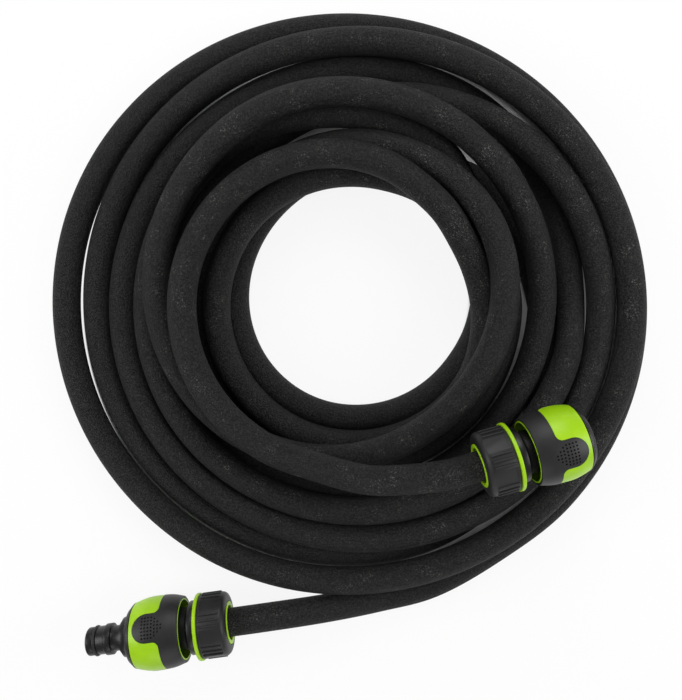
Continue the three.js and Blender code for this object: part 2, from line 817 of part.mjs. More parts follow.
export default part;
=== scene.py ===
# %% [markdown]
# # A coiled soaker hose with push-fit connectors
# This is a porous rubber hose of 16 mm, wound in a loose round coil, with a connector clamped on
# each end. The CAD model is loaded first as a fixed frame, in metres. Everything made here keeps
# to it: a finished piece has its place in its own mesh, and rides on one of the frame's bodies.

import json
import math

import bpy
import numpy as np
from mathutils import Matrix, Vector

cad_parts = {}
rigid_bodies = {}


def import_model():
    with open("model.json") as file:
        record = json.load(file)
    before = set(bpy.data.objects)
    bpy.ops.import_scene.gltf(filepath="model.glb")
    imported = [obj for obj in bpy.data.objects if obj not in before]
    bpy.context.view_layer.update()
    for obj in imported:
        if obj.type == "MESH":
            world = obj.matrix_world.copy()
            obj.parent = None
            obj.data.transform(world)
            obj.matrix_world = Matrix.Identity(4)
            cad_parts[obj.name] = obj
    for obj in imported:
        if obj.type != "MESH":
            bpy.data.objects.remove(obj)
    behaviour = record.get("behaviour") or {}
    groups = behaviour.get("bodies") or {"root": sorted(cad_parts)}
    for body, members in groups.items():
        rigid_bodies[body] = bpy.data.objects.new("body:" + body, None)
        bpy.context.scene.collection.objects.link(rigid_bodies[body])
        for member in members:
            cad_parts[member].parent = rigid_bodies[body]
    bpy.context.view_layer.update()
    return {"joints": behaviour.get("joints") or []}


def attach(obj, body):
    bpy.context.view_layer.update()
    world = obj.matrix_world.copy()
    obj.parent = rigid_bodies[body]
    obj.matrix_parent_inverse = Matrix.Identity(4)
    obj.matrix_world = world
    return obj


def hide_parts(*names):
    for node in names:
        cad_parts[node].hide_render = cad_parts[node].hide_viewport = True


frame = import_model()
joints = {joint["name"]: joint for joint in frame["joints"]}
MM = 0.001

# %% [markdown]
# ## The camera
# The photograph looks straight down on the coil from close by, so that the upper connector looks
# larger than the lower one. A camera with no rotation looks down and has +Y as its up direction.
# The model was measured with the image's middle as its zero, and the frame's origin lies under the
# middle of the connectors, so the camera stands off that origin by the same step.

# %% Camera
scene = bpy.context.scene
SHIFT = Vector((7.798, 107.475, 0)) * MM
CAMERA_HEIGHT = 400 * MM
IMAGE_LONG_SIDE = 700
FOCAL_PIXELS = 648
SENSOR = 36

camera_data = bpy.data.cameras.new("camera")
camera_data.sensor_width = SENSOR
camera_data.lens = FOCAL_PIXELS * SENSOR / IMAGE_LONG_SIDE
camera = bpy.data.objects.new("camera", camera_data)
scene.collection.objects.link(camera)
camera.location = SHIFT + Vector((0, 0, CAMERA_HEIGHT))
scene.camera = camera
print("camera:", round(camera_data.lens, 2), "mm lens")

# %% [markdown]
# ## Where the loops lie
# The hose is one tube from the lower connector to the upper one. Its free tail and its top end are
# a few listed points, but ten loops would need hundreds. Stations say where the loops lie
# instead. Each gives an angle that counts on from loop to loop, in degrees, and then how far the
# hose's centre is from the coil's middle and how high it lies, in millimetres.

# %% Coil stations
HOSE_RADIUS = 8
COIL_CENTRE = (8.5, 28.5)
COIL_STATIONS = np.array([
    [-60, 171, 7], [-30, 171, 6.4], [0, 169.5, 6.4], [90, 162.8, 6.4], [130, 174, 6.4],
    [150, 178.4, 6.4], [180, 178, 6.4], [210, 171, 6.4], [240, 166, 9], [270, 159, 18],
    [315, 157, 24], [360, 156.9, 22], [450, 148.8, 21], [500, 153, 9], [540, 157.5, 6.4],
    [570, 158.5, 6.4], [600, 155.5, 6.4], [630, 156, 6.4], [645, 159, 6.4], [660, 162, 6.4],
    [675, 151, 6.4], [690, 133, 6.4], [705, 113, 6.4], [720, 100, 6.4], [765, 104, 6.4],
    [780, 98, 6.4], [810, 83, 6.4], [900, 72.4, 6.4], [990, 70.5, 6.4], [1035, 74, 6.4],
    [1080, 77, 6.4], [1110, 86, 6.4], [1125, 90, 12], [1140, 97, 21], [1170, 110, 23],
    [1260, 123.9, 16], [1350, 120, 22], [1440, 128, 6.4], [1470, 134, 6.4], [1485, 145, 6.4],
    [1500, 154, 6.4], [1515, 150, 6.4], [1530, 144, 6.4], [1575, 140.5, 6.4], [1620, 140.2, 11],
    [1710, 136.3, 21], [1800, 144.9, 12], [1845, 141, 23], [1860, 136, 22], [1890, 123, 15],
    [1905, 101, 6.4], [1920, 98, 6.4], [1935, 104, 6.4], [1980, 110, 6.4], [2070, 118, 6.4],
    [2160, 105.7, 24], [2250, 116.5, 39], [2340, 116, 31], [2395, 100, 26], [2430, 86, 25],
    [2520, 78.9, 38.4], [2565, 87.5, 36], [2610, 93.8, 22], [2700, 90, 6.4], [2790, 101, 6.4],
    [2835, 98, 6.4], [2880, 91, 15], [2895, 86, 23], [2910, 79, 24], [2925, 74, 21],
    [2970, 76.8, 23], [3060, 81, 21], [3110, 86, 14], [3150, 86, 14], [3190, 83, 20],
    [3240, 74.5, 23], [3262, 70.5, 28], [3285, 70.5, 37], [3330, 79.4, 40], [3420, 99.9, 41],
    [3465, 98, 43], [3495, 94.5, 47.5],
])
print("coil:", round((COIL_STATIONS[-1, 0] - COIL_STATIONS[0, 0]) / 360, 2), "turns")

# %% [markdown]
# ## A curve through stations
# Straight stretches between stations would leave corners in the hose. Here each station's slope is
# that of the parabola through it and its neighbours, and a cubic joins one slope to the next, so
# the curve passes every station without a corner. The sleeve's outline is drawn with it too.

# %% Smooth values between stations
def smooth_between(stations, angles):
    """Smooth values at the angles, through stations of [angle, values...]."""
    at, values = stations[:, 0], stations[:, 1:]
    slopes = np.diff(values, axis=0) / np.diff(at)[:, None]
    before, after = np.diff(at)[:-1, None], np.diff(at)[1:, None]
    inner = (slopes[:-1] * after + slopes[1:] * before) / (before + after)
    tangents = np.vstack([slopes[:1], inner, slopes[-1:]])
    i = np.clip(np.searchsorted(at, angles, side="right") - 1, 0, len(at) - 2)
    span = (at[i + 1] - at[i])[:, None]
    s = (angles - at[i])[:, None] / span
    return (
        (2 * s**3 - 3 * s**2 + 1) * values[i]
        + (s**3 - 2 * s**2 + s) * span * tangents[i]
        + (3 * s**2 - 2 * s**3) * values[i + 1]
        + (s**3 - s**2) * span * tangents[i + 1]
    )


print("at 45 degrees:", smooth_between(COIL_STATIONS, np.array([45]))[0].round(1))

# %% [markdown]
# ## Settling the coil
# At each of 24 angles round the coil, the loops' cross-sections are a pile of circles. Circles
# that lie too close push each other apart while the hose stays smooth, which is how a real coil
# settles. A physics simulation would settle it too, but its loops would wander from the
# photograph's. Here each circle is also held near its station, until the last rounds.

# %% Coil
STEPS_PER_LOOP = 24
FLAT_DEPTH = 1.6
LOOP_GAP = 0.9
EASE_ROUNDS = 400
EASE_PUSH = 0.25
EASE_SMOOTH = 0.06
EASE_SMOOTH_UNTIL = 0.95
EASE_HOLD = 0.03
EASE_HOLD_UNTIL = 0.75
TINY = 1e-6


def settled_coil():
    """The coil's centre line in millimetres, one point for each step round the coil."""
    step = 360 / STEPS_PER_LOOP
    start = COIL_STATIONS[0, 0]
    count = round((COIL_STATIONS[-1, 0] - start) / step) + 1
    angles = start + step * np.arange(count)
    chosen = smooth_between(COIL_STATIONS, angles)
    one, other = np.array([
        (i, j) for i in range(count) for j in range(i + STEPS_PER_LOOP, count, STEPS_PER_LOOP)
    ]).T
    reach = 2 * HOSE_RADIUS + LOOP_GAP
    pile = chosen.copy()
    for turn in range(EASE_ROUNDS):
        apart = pile[other] - pile[one]
        distance = np.maximum(np.linalg.norm(apart, axis=1), TINY)
        short = EASE_PUSH * np.maximum(reach - distance, 0) / distance
        push = np.zeros_like(pile)
        np.add.at(push, one, -apart * short[:, None])
        np.add.at(push, other, apart * short[:, None])
        moved = pile + push
        pile = moved.copy()
        if turn < EASE_ROUNDS * EASE_SMOOTH_UNTIL:
            pile[1:-1] += EASE_SMOOTH * ((moved[:-2] + moved[2:]) / 2 - moved[1:-1])
        if turn < EASE_ROUNDS * EASE_HOLD_UNTIL:
            pile += EASE_HOLD * (chosen - pile)
        pile[:, 1] = np.maximum(pile[:, 1], HOSE_RADIUS - FLAT_DEPTH)
        pile[:2] = chosen[:2]
    turns = np.radians(angles)
    across = COIL_CENTRE[0] + pile[:, 0] * np.cos(turns)
    along = COIL_CENTRE[1] + pile[:, 0] * np.sin(turns)
    return np.column_stack([across, along, pile[:, 1]])


coil_points = settled_coil()
print("coil:", len(coil_points), "points")

# %% [markdown]
# ## Where the connectors lie
# Both connectors are the same product, so each of their pieces is modelled once, standing on its
# axis, and copied onto both. The frame already knows where the two axes are: each sleeve's joint
# pulls back along its axis, and each nut's hinge stands on it. From those comes one placing matrix
# per connector, whose Z runs from the nut's mouth to the nose.

# %% Connector axes
NUT_HINGE_PLACE = 11 * MM
ROLLS = {"inlet": 8, "outlet": 30}
UP = Vector((0, 0, 1))


def connector_place(prefix, roll):
    """The matrix from a connector's own frame to the row frame."""
    forward = -Vector(joints[f"{prefix}_sleeve_pull"]["axis"])
    hinge = Vector(joints[f"{prefix}_nut_turn"]["pos_m"])
    level = UP.cross(forward).normalized()
    down = level.cross(forward)
    upright = Matrix((down, level, forward)).transposed().to_4x4()
    mouth = Matrix.Translation(hinge - forward * NUT_HINGE_PLACE)
    return mouth @ upright @ Matrix.Rotation(math.radians(roll), 4, "Z")


places = {prefix: connector_place(prefix, roll) for prefix, roll in ROLLS.items()}
for prefix, place in places.items():
    print(prefix, "mouth at", [round(x / MM, 1) for x in place.translation])

# %% [markdown]
# ## The hose's route
# The route starts inside the lower connector, runs straight out of it, lies along the floor, goes
# round the coil and climbs to the upper connector. A curve through all these points bends evenly
# if each stretch is a Catmull-Rom curve timed by the square root of its length. Points a small
# step apart are then read off it, so that the tube's rings are evenly spaced.

# %% Route
STRAIGHT_RUN = 16
HOSE_SEAT = 18.8
TAIL_POINTS = [(-9.5, -153.6, 14.5), (22.5, -148.8, 10.5), (54.6, -141.2, 8.4)]
TOP_POINTS = [(14, -69.6, 52.5), (32, -69, 56)]
FINE_STEPS = 40
ROUTE_STEP = 3.5 * MM


def on_axis(prefix, distance):
    """A point on a connector's axis, at a distance in millimetres from its nut's mouth."""
    return places[prefix] @ Vector((0, 0, distance * MM))


def in_row_frame(points):
    return [SHIFT + Vector(point) * MM for point in points]


def even_route(points, step):
    """Points a step apart on a centripetal Catmull-Rom curve through the given points."""
    points = [np.array(point) for point in points]
    points = [2 * points[0] - points[1], *points, 2 * points[-1] - points[-2]]
    fine = [points[1]]
    for p0, p1, p2, p3 in zip(points, points[1:], points[2:], points[3:]):
        t0, t1, t2 = (np.linalg.norm(chord) ** 0.5 for chord in (p1 - p0, p2 - p1, p3 - p2))
        leave = t1 * ((p1 - p0) / t0 - (p2 - p0) / (t0 + t1) + (p2 - p1) / t1)
        arrive = t1 * ((p2 - p1) / t1 - (p3 - p1) / (t1 + t2) + (p3 - p2) / t2)
        for s in np.linspace(0, 1, FINE_STEPS + 1)[1:]:
            h1, h2 = 2 * s**3 - 3 * s**2 + 1, s**3 - 2 * s**2 + s
            fine.append(h1 * p1 + h2 * leave + (1 - h1) * p2 + (s**3 - s**2) * arrive)
    fine = np.array(fine)
    lengths = np.concatenate([[0], np.cumsum(np.linalg.norm(np.diff(fine, axis=0), axis=1))])
    wanted = np.linspace(0, lengths[-1], round(lengths[-1] / step) + 1)
    return np.column_stack([np.interp(wanted, lengths, fine[:, k]) for k in range(3)]), lengths[-1]


route, hose_length = even_route(
    [
        on_axis("outlet", HOSE_SEAT),
        on_axis("outlet", 0),
        on_axis("outlet", -STRAIGHT_RUN),
        *in_row_frame(TAIL_POINTS),
        *in_row_frame(coil_points),
        *in_row_frame(TOP_POINTS),
        on_axis("inlet", -STRAIGHT_RUN),
        on_axis("inlet", 0),
        on_axis("inlet", HOSE_SEAT),
    ],
    ROUTE_STEP,
)
print("hose:", round(hose_length, 3), "m in", len(route), "points")

# %% [markdown]
# ## The hose
# The whole hose is one free cord, so it is one piece that stands for its three solids. The route
# is drawn as a poly spline with a round bevel and turned into a mesh, which is then pressed flat
# where it stands on the floor, as the weight of a soft tube does. Its ends lie inside the nuts.

# %% Hose
HOSE_ROUNDNESS = 10


def deselect():
    bpy.ops.object.select_all(action="DESELECT")


def make_active(piece):
    deselect()
    piece.select_set(True)
    bpy.context.view_layer.objects.active = piece


def hose_piece():
    line = bpy.data.curves.new("hose", "CURVE")
    line.dimensions = "3D"
    line.bevel_depth = HOSE_RADIUS * MM
    line.bevel_resolution = HOSE_ROUNDNESS
    line.use_fill_caps = True
    spline = line.splines.new("POLY")
    spline.points.add(len(route) - 1)
    spline.points.foreach_set("co", np.column_stack([route, np.ones(len(route))]).ravel())
    piece = bpy.data.objects.new("hose", line)
    scene.collection.objects.link(piece)
    make_active(piece)
    bpy.ops.object.convert(target="MESH")
    piece = bpy.context.object
    for vertex in piece.data.vertices:
        vertex.co.z = max(vertex.co.z, 0)
    bpy.ops.object.shade_smooth()
    return piece


hose = hose_piece()
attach(hose, "hose")
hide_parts("hose_coil", "hose_tail", "hose_top_end")
print("hose:", len(hose.data.polygons), "faces")

# %% [markdown]
# ## Turning round pieces
# Nearly every piece of a connector is turned: it is one outline swept once round an axis. By hand
# that is a circle whose edge is extruded along the axis and scaled, station by station, until it
# meets its own start. The doubled ring is merged, and the normals then point outwards.

# %% Lathe
ROUND_STEPS = 96
MERGE_DISTANCE = 1e-6


def turned(name, outline):
    """A closed outline of (radius, height) pairs in millimetres, turned about Z."""
    radius, height = outline[0]
    deselect()
    bpy.ops.mesh.primitive_circle_add(
        vertices=ROUND_STEPS, radius=radius * MM, location=(0, 0, height * MM)
    )
    bpy.ops.object.transform_apply(location=True, rotation=False, scale=False)
    bpy.ops.object.mode_set(mode="EDIT")
    bpy.ops.mesh.select_all(action="SELECT")
    for next_radius, next_height in [*outline[1:], outline[0]]:
        rise = (0, 0, (next_height - height) * MM)
        bpy.ops.mesh.extrude_edges_move(TRANSFORM_OT_translate={"value": rise})
        wider = next_radius / radius
        bpy.ops.transform.resize(value=(wider, wider, 1), center_override=(0, 0, 0))
        radius, height = next_radius, next_height
    bpy.ops.mesh.select_all(action="SELECT")
    bpy.ops.mesh.remove_doubles(threshold=MERGE_DISTANCE)
    bpy.ops.mesh.normals_make_consistent(inside=False)
    bpy.ops.object.mode_set(mode="OBJECT")
    piece = bpy.context.object
    piece.name = piece.data.name = name
    return piece


def arc(centre, radius, start, end, steps):
    """Points of an arc in an outline, in degrees."""
    turns = [math.radians(start + (end - start) * k / steps) for k in range(steps + 1)]
    return [(centre[0] + radius * math.cos(t), centre[1] + radius * math.sin(t)) for t in turns]


print("lathe:", ROUND_STEPS, "steps in a turn")

# %% [markdown]
# ## Cutting and rounding
# Windows, flats and recesses are cut with a tool and a Boolean modifier, whose exact solver also
# copes with faces that touch. A moulded edge is never razor sharp, and it is the small rounding
# that catches the light, so each piece then gets a Bevel modifier on its edges.

# %% Cutters and edges
BEVEL_ANGLE = math.radians(30)
SMOOTH_ANGLE = math.radians(40)


def apply_modifier(piece, kind, **settings):
    """Adds a modifier with its settings to the piece, and applies it."""
    make_active(piece)
    modifier = piece.modifiers.new(kind.lower(), kind)
    for key, value in settings.items():
        setattr(modifier, key, value)
    bpy.ops.object.modifier_apply(modifier=modifier.name)


def carved(piece, tool, operation="DIFFERENCE"):
    """The piece cut by, cut down to or joined with a tool, which is used up."""
    apply_modifier(piece, "BOOLEAN", object=tool, operation=operation, solver="EXACT")
    bpy.data.objects.remove(tool)
    return piece


def smoothed(piece):
    """The piece shaded smooth, except at edges that stay sharp."""
    make_active(piece)
    bpy.ops.object.shade_smooth_by_angle(angle=SMOOTH_ANGLE)
    return piece


def rounded(piece, width, segments=2):
    """The piece with its edges rounded over a width in millimetres."""
    apply_modifier(
        piece, "BEVEL", width=width * MM, segments=segments, limit_method="ANGLE",
        angle_limit=BEVEL_ANGLE,
    )
    return smoothed(piece)


print("edges sharper than", round(math.degrees(BEVEL_ANGLE)), "degrees are rounded")

# %% [markdown]
# ## What repeats round an axis
# Windows, tongues, bars and dimples come in threes and sixes round a connector. Each is made once,
# as a box or an outline, and copied at equal turns. Every copy has a mesh of its own, so that all
# of them join into one tool or one piece.


# %% Bars and circles of copies
def bar(name, size, centre):
    """A box of a size at a centre, in millimetres."""
    deselect()
    bpy.ops.mesh.primitive_cube_add(size=1, location=[x * MM for x in centre])
    piece = bpy.context.object
    piece.name = name
    piece.scale = [x * MM for x in size]
    bpy.ops.object.transform_apply(location=True, rotation=False, scale=True)
    return piece


def joined(pieces):
    """Several pieces as one."""
    deselect()
    for piece in pieces:
        piece.select_set(True)
    bpy.context.view_layer.objects.active = pieces[0]
    bpy.ops.object.join()
    return bpy.context.object


def about_axis(degrees):
    """A turn about Z."""
    return Matrix.Rotation(math.radians(degrees), 4, "Z")


def arranged(piece, count, start=0):
    """Copies of a piece at equal turns about Z, joined into one."""
    copies = []
    for k in range(count):
        copy = bpy.data.objects.new(piece.name, piece.data.copy())
        scene.collection.objects.link(copy)
        copy.data.transform(about_axis(start + 360 * k / count))
        copies.append(copy)
    bpy.data.objects.remove(piece)
    return joined(copies)


print("copies: ready")

# %% [markdown]
# ## The connector's sizes
# These follow the CAD model, in millimetres from the nut's mouth along the axis. A few are chosen,
# and the rest are worked out from them in the order in which the pieces nest. Only the nut's lime
# lip and ring are some tenths slimmer than the solid's, as they look in the photograph.

# %% Sizes
FIT_GAP = 0.3
RUNNING_GAP = 0.4
FLANGE_START = 19.1
FLANGE_THICKNESS = 3.6
FLANGE_RADIUS = 14.9
FLANGE_END = FLANGE_START + FLANGE_THICKNESS
NECK_RADIUS = 11.6
NECK_LENGTH = 9.4
NECK_FILLET = 2.2
SHOULDER_THICKNESS = 1.8
SHOULDER_START = FLANGE_END + NECK_LENGTH
SHOULDER_END = SHOULDER_START + SHOULDER_THICKNESS
BARREL_RADIUS = 11.3
NOSE_END = 57.5
SEAT = 37.7
SOCKET_RADIUS = 9.05
TIP_ROOM_RADIUS = SOCKET_RADIUS - 0.85
RIDGE_ROOM_START = SEAT + 14.6 - 3.9
BORE_RADIUS = 3.38
STEM_RADIUS = BORE_RADIUS + 1.2
STEM_START = 4
HUB_INNER = 11.4
HUB_RADIUS = 13.4
HUB_LENGTH = 9.7
JAWS = 3
JAW_MIDDLE = 54.45
JAW_LENGTH = 3.7
JAW_WIDTH = 5.8
WINDOW_DEPTH = 6
WINDOW_INSET = 1
print("connector:", NOSE_END, "mm from mouth to nose")

# %% [markdown]
# ## The body
# The black body runs through the whole connector. What shows of it is the round flange in front of
# the nut, the waisted neck, and the shoulder that fills the sleeve's rear opening. Its socket
# shows from the front, with three windows through which the jaws reach. Inside, its outline also
# has the stem that the hose is pushed onto, so that it is whole from any side.


# %% Body
def body_piece(name):
    fillet_middle = NECK_RADIUS + NECK_FILLET
    piece = turned(name, [
        (BORE_RADIUS, STEM_START),
        (STEM_RADIUS, STEM_START),
        (STEM_RADIUS, FLANGE_START),
        (HUB_INNER, FLANGE_START),
        (HUB_INNER, FLANGE_START - HUB_LENGTH),
        (HUB_RADIUS, FLANGE_START - HUB_LENGTH),
        (HUB_RADIUS, FLANGE_START),
        (FLANGE_RADIUS, FLANGE_START),
        (FLANGE_RADIUS, FLANGE_END),
        *arc((fillet_middle, FLANGE_END + NECK_FILLET), NECK_FILLET, 270, 180, steps=6),
        *arc((fillet_middle, SHOULDER_START - NECK_FILLET), NECK_FILLET, 180, 90, steps=6),
        (FLANGE_RADIUS, SHOULDER_START),
        (FLANGE_RADIUS, SHOULDER_END),
        (BARREL_RADIUS, SHOULDER_END),
        (BARREL_RADIUS, NOSE_END),
        (SOCKET_RADIUS, NOSE_END),
        (SOCKET_RADIUS, RIDGE_ROOM_START),
        (TIP_ROOM_RADIUS, RIDGE_ROOM_START),
        (TIP_ROOM_RADIUS, SEAT - FIT_GAP),
        (BORE_RADIUS, SEAT - FIT_GAP),
    ])
    size = (WINDOW_DEPTH, JAW_WIDTH + 2 * FIT_GAP, JAW_LENGTH + 2 * FIT_GAP)
    window = bar("window", size, (BARREL_RADIUS - WINDOW_INSET, 0, JAW_MIDDLE))
    carved(piece, arranged(window, JAWS))
    return rounded(piece, width=0.3)


connector = {"body": body_piece("body")}
print("body:", len(connector["body"].data.polygons), "faces")

# %% [markdown]
# ## The nut
# The nut is a lime shell that clamps the hose. A grip covers most of it, so it shows as two rings:
# a thin lip round the hose and a wide ring at the front. It is turned in one go, with its thin
# wall.

# %% Nut
NUT_LENGTH = 18.5
NUT_MOUTH_RADIUS = 9.4
NUT_MOUTH_BEVEL = 0.5
NUT_LIP_RADIUS = 11.7
NUT_LIP_END = 3.3
NUT_SHELL_START = 4.9
NUT_BORE = HUB_RADIUS + RUNNING_GAP
NUT_RADIUS = NUT_BORE + 2.3
NUT_RING_RADIUS = NUT_RADIUS + 2.45
NUT_RING_START = NUT_LENGTH - 1.9
NUT_INSIDE = [(NUT_BORE, 8.3), (NUT_MOUTH_RADIUS + 2, 5.2), (NUT_MOUTH_RADIUS, 4.4)]


def nut_piece(name):
    piece = turned(name, [
        (NUT_MOUTH_RADIUS, NUT_MOUTH_BEVEL),
        (NUT_MOUTH_RADIUS + NUT_MOUTH_BEVEL, 0),
        (NUT_LIP_RADIUS, 0),
        (NUT_LIP_RADIUS, NUT_LIP_END),
        (NUT_RADIUS, NUT_SHELL_START),
        (NUT_RADIUS, NUT_RING_START),
        (NUT_RING_RADIUS, NUT_RING_START),
        (NUT_RING_RADIUS, NUT_LENGTH),
        (NUT_BORE, NUT_LENGTH),
        *NUT_INSIDE,
    ])
    return rounded(piece, width=0.45, segments=3)


connector["nut"] = nut_piece("nut")
print("nut:", round(2 * NUT_RING_RADIUS, 1), "mm across its ring")

# %% [markdown]
# ## The nut's grip
# Between the nut's two rings lies a soft black grip. It has six groups of three raised bars, and a
# flat between one group and the next, so that fingers turn it easily. The flats come from cutting
# the round grip down to a hexagonal prism, whose corners stay outside it, with a collar that keeps
# the front edge round. The bars are rounded first and joined on afterwards, so that each keeps its
# own soft edge.

# %% Nut grip blank
GRIP_THICKNESS = 1.3
GRIP_INNER = NUT_RADIUS + FIT_GAP
GRIP_RADIUS = GRIP_INNER + GRIP_THICKNESS
GRIP_START = 0.4
GRIP_END = NUT_RING_START - FIT_GAP
GRIP_CURVE = 3.4
GRIP_CURVE_MIDDLE = (GRIP_RADIUS - GRIP_CURVE, GRIP_START + 3.6)
GRIP_REAR_EDGE = [
    (NUT_LIP_RADIUS + FIT_GAP, 2.9),
    (NUT_LIP_RADIUS + FIT_GAP, GRIP_START),
    (NUT_LIP_RADIUS + 0.9, GRIP_START - 0.1),
]
GROUPS = 6
FLAT_CUT = 0.45
FLAT_START = GRIP_START - 0.5
FLAT_END = GRIP_END - 1.5
COLLAR_START = GRIP_END - 1.6
COLLAR_INNER = NUT_RADIUS - 4
COLLAR_RADIUS = GRIP_RADIUS + 2
COLLAR_END = GRIP_END + 1


def flatted_tool():
    """A hexagonal prism with a round collar at its front."""
    apothem = GRIP_RADIUS - FLAT_CUT
    deselect()
    bpy.ops.mesh.primitive_cylinder_add(
        vertices=GROUPS, radius=apothem / math.cos(math.pi / GROUPS) * MM,
        depth=(FLAT_END - FLAT_START) * MM, location=(0, 0, (FLAT_START + FLAT_END) / 2 * MM),
    )
    prism = bpy.context.object
    bpy.ops.object.transform_apply(location=True, rotation=False, scale=False)
    prism.data.transform(about_axis(180 / GROUPS))
    collar = turned("collar", [
        (COLLAR_INNER, COLLAR_START), (COLLAR_RADIUS, COLLAR_START),
        (COLLAR_RADIUS, COLLAR_END), (COLLAR_INNER, COLLAR_END),
    ])
    return carved(prism, collar, "UNION")


def nut_grip_blank(name):
    rear_inside, *rear = GRIP_REAR_EDGE
    piece = turned(name, [
        *rear,
        *arc(GRIP_CURVE_MIDDLE, GRIP_CURVE, 290, 360, steps=6),
        (GRIP_RADIUS, GRIP_END),
        (GRIP_INNER, GRIP_END),
        (GRIP_INNER, 4.6),
        rear_inside,
    ])
    return rounded(carved(piece, flatted_tool(), "INTERSECT"), width=0.25)


connector["nut_grip"] = nut_grip_blank("nut_grip")
print("nut grip:", round(2 * GRIP_RADIUS, 1), "mm across without its bars")

# %% Nut grip bars
BARS_PER_GROUP = 3
BAR_SPACING = 3.2
BAR_WIDTH = 1.15
BAR_HEIGHT = 0.8
BAR_ROOT = 1
BAR_START = GRIP_START + 3.2
BAR_END = GRIP_END - 1.2


def add_bars(piece):
    """Joins groups of raised bars onto the grip, all round it."""
    size = (BAR_HEIGHT + BAR_ROOT, BAR_WIDTH, BAR_END - BAR_START)
    middle = (GRIP_RADIUS + (BAR_HEIGHT - BAR_ROOT) / 2, 0, (BAR_START + BAR_END) / 2)
    for k in range(BARS_PER_GROUP):
        turn = math.degrees((k - (BARS_PER_GROUP - 1) / 2) * BAR_SPACING / GRIP_RADIUS)
        one = rounded(bar("bar", size, middle), width=0.4, segments=3)
        carved(piece, arranged(one, GROUPS, turn), "UNION")
    smoothed(piece)


add_bars(connector["nut_grip"])
print("nut grip:", len(connector["nut_grip"].data.polygons), "faces")

# %% [markdown]
# ## The room for the sleeve's grip
# The sleeve is what a hand pulls back to free a nipple. Its soft black grip is moulded into a
# recess in a lime shell: a band with three tongues. A prism with the outline of the band and the
# tongues cuts both: the grip keeps what lies inside it, and the shell loses it. So the two always
# fit.

# %% Sleeve outline
SLEEVE_START = 26.9
SLEEVE_FRONT = 54.4
SLEEVE_STATIONS = np.array([
    [0, 18.05], [5.4, 19.54], [12.4, 20.15], [18.6, 20.15], [24.5, 19.03], [27.5, 18.13],
])
SLEEVE_STEPS = 24


def sleeve_outline(depth, rear):
    """The sleeve's outer surface from its rear to its front, drawn in by a depth."""
    heights = np.linspace(rear, SLEEVE_FRONT, SLEEVE_STEPS)
    radii = smooth_between(SLEEVE_STATIONS, heights - SLEEVE_START)[:, 0] - depth
    return list(zip(radii, heights))


print("sleeve:", round(2 * SLEEVE_STATIONS[:, 1].max(), 1), "mm across")

# %% Grip room
TONGUES = 3
BETWEEN_JAWS = 180 / TONGUES
TONGUE_WIDTH = 15.4
TONGUE_LENGTH = 25.3
TONGUE_FILLET = 3.2
BAND_LENGTH = 10.5
ROOM_INNER = 12
ROOM_OUTER = 26
ROOM_SPARE = 2


def flat_solid(name, outline, low, high):
    """A flat outline in millimetres in Y and Z, made solid along X between two places."""
    sheet = bpy.data.meshes.new(name)
    count = len(outline)
    near = [(low * MM, y * MM, z * MM) for y, z in outline]
    far = [(high * MM, y, z) for x, y, z in near]
    sides = [(k, (k + 1) % count, (k + 1) % count + count, k + count) for k in range(count)]
    faces = [tuple(reversed(range(count))), tuple(range(count, 2 * count)), *sides]
    sheet.from_pydata(near + far, [], faces)
    piece = bpy.data.objects.new(name, sheet)
    scene.collection.objects.link(piece)
    return piece


def grip_room(margin):
    """The room that the grip takes in the sleeve, grown by a margin."""
    half = TONGUE_WIDTH / 2 + margin
    fillet = TONGUE_FILLET - margin
    band_end = SLEEVE_START + BAND_LENGTH + margin
    tip = SLEEVE_START + TONGUE_LENGTH + margin - half
    root = half + fillet
    outline = [(-root, band_end - ROOM_SPARE), (root, band_end - ROOM_SPARE)]
    outline += arc((root, band_end + fillet), fillet, 270, 180, steps=8)
    outline += arc((0, tip), half, 0, 180, steps=24)
    outline += arc((-root, band_end + fillet), fillet, 0, -90, steps=8)
    tongue = flat_solid("tongue", outline, ROOM_INNER, ROOM_OUTER)
    room = turned("room", [
        (ROOM_INNER, SLEEVE_START - ROOM_SPARE), (ROOM_OUTER, SLEEVE_START - ROOM_SPARE),
        (ROOM_OUTER, band_end), (ROOM_INNER, band_end),
    ])
    return carved(room, arranged(tongue, TONGUES, BETWEEN_JAWS), "UNION")


print("grip:", TONGUES, "tongues of", TONGUE_WIDTH, "mm")

# %% [markdown]
# ## The sleeve
# The lime shell shows in three windows between the tongues and as a thin ring round the rear
# opening. It is turned as one thick wall, with a sloped ring inside its front that frees the jaws,
# and then loses the recess in which the grip lies.

# %% Sleeve
SLEEVE_OPENING = 16.05
CHAMBER_END = 46.5
CAM_RADIUS = 11.9
CAM_START = 52.3
CAM_SLOPE = 0.32
RECESS_START = SLEEVE_START - 1
GRIP_SEAM = 0.12


def sleeve_piece(name):
    piece = turned(name, [
        *sleeve_outline(0, SLEEVE_START),
        (CAM_RADIUS + CAM_SLOPE * (SLEEVE_FRONT - CAM_START), SLEEVE_FRONT),
        (CAM_RADIUS, CAM_START),
        (CAM_RADIUS, CHAMBER_END),
        (SLEEVE_OPENING, CHAMBER_END),
        (SLEEVE_OPENING, SLEEVE_START),
    ])
    recess = turned("recess", [
        *sleeve_outline(GRIP_THICKNESS, RECESS_START),
        (ROOM_OUTER, SLEEVE_FRONT),
        (ROOM_OUTER, RECESS_START),
    ])
    carved(recess, grip_room(GRIP_SEAM), "INTERSECT")
    return rounded(carved(piece, recess), width=0.2)


connector["sleeve"] = sleeve_piece("sleeve")
print("sleeve:", len(connector["sleeve"].data.polygons), "faces")

